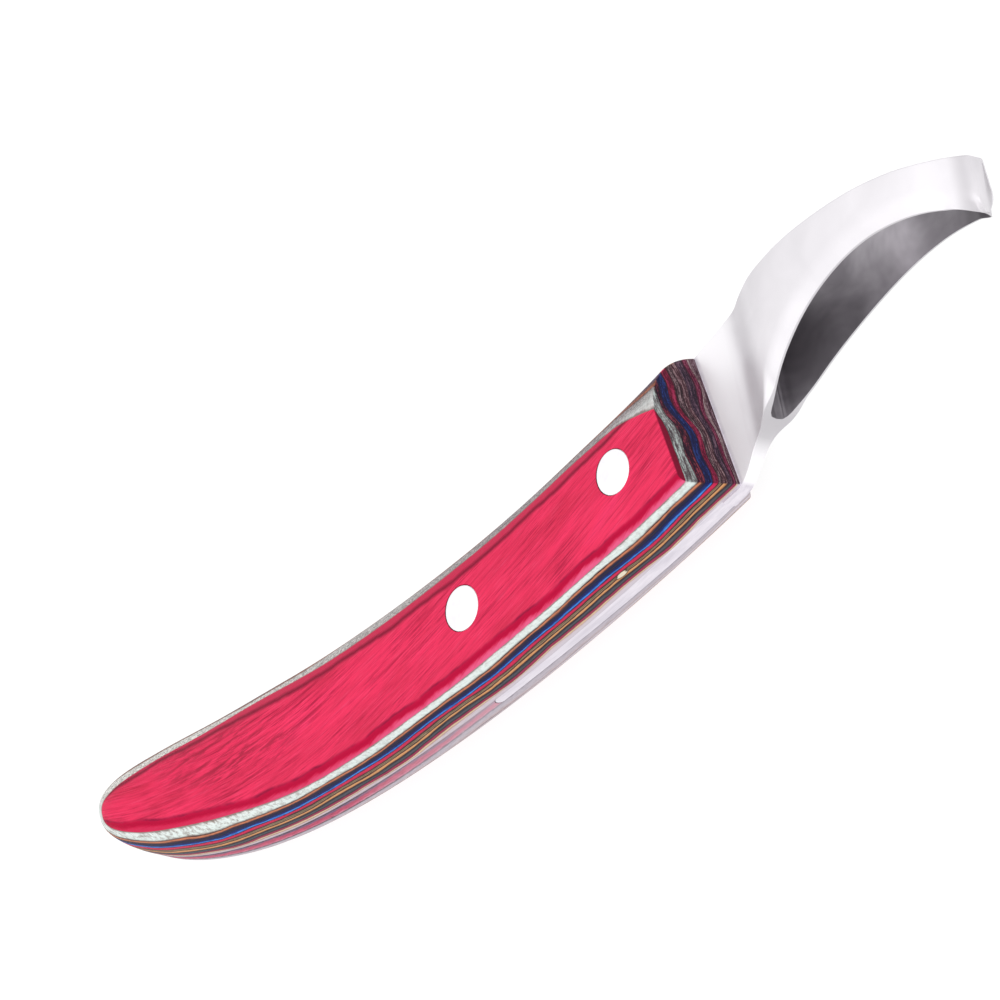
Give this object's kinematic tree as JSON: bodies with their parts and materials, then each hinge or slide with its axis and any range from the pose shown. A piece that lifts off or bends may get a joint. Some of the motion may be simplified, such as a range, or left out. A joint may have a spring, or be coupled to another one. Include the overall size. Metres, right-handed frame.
{
  "type": "hoof knife",
  "caption": "Loop hoof knife: closed oval steel loop blade on a neck and tang, held in a curved laminated wood handle by flush cutler's rivets.",
  "frame": {"origin": "middle of the bounding box's base, with the handle's flat far face on z = 0", "axes": "+X along the knife towards the loop's tip, +Y across the handle towards its concave back, +Z through the plies towards the near face"},
  "size_m": [0.1844, 0.0346, 0.0192],
  "materials": {
    "blade_steel": "polished",
    "rivet_metal": "polished",
    "crimson_face_ply": "oiled, satin gloss",
    "white_ply": "satin",
    "orange_brown_ply": "satin",
    "blue_ply": "satin",
    "crimson_ply": "satin",
    "olive_ply": "satin",
    "orange_ply": "satin",
    "navy_ply": "satin",
    "magenta_ply": "satin",
    "cream_ply": "satin",
    "mauve_ply": "satin",
    "core_ply": "satin"
  },
  "bodies": {
    "root": {"blade": "blade_steel", "core_crimson_ply": "core_ply", "near_crimson_face_ply": "crimson_face_ply", "near_white_ply": "white_ply", "near_orange_brown_ply": "orange_brown_ply", "near_blue_ply": "blue_ply", "near_crimson_ply": "crimson_ply", "near_olive_ply": "olive_ply", "near_orange_ply": "orange_ply", "near_navy_ply": "navy_ply", "near_magenta_ply": "magenta_ply", "near_cream_ply": "cream_ply", "near_mauve_ply": "mauve_ply", "far_mauve_ply": "mauve_ply", "far_cream_ply": "cream_ply", "far_magenta_ply": "magenta_ply", "far_navy_ply": "navy_ply", "far_orange_ply": "orange_ply", "far_olive_ply": "olive_ply", "far_crimson_ply": "crimson_ply", "far_blue_ply": "blue_ply", "far_crimson_face_ply": "crimson_face_ply", "rear_rivet_tube": "rivet_metal", "rear_rivet_pin": "rivet_metal", "front_rivet_tube": "rivet_metal", "front_rivet_pin": "rivet_metal"}
  },
  "joints": []
}
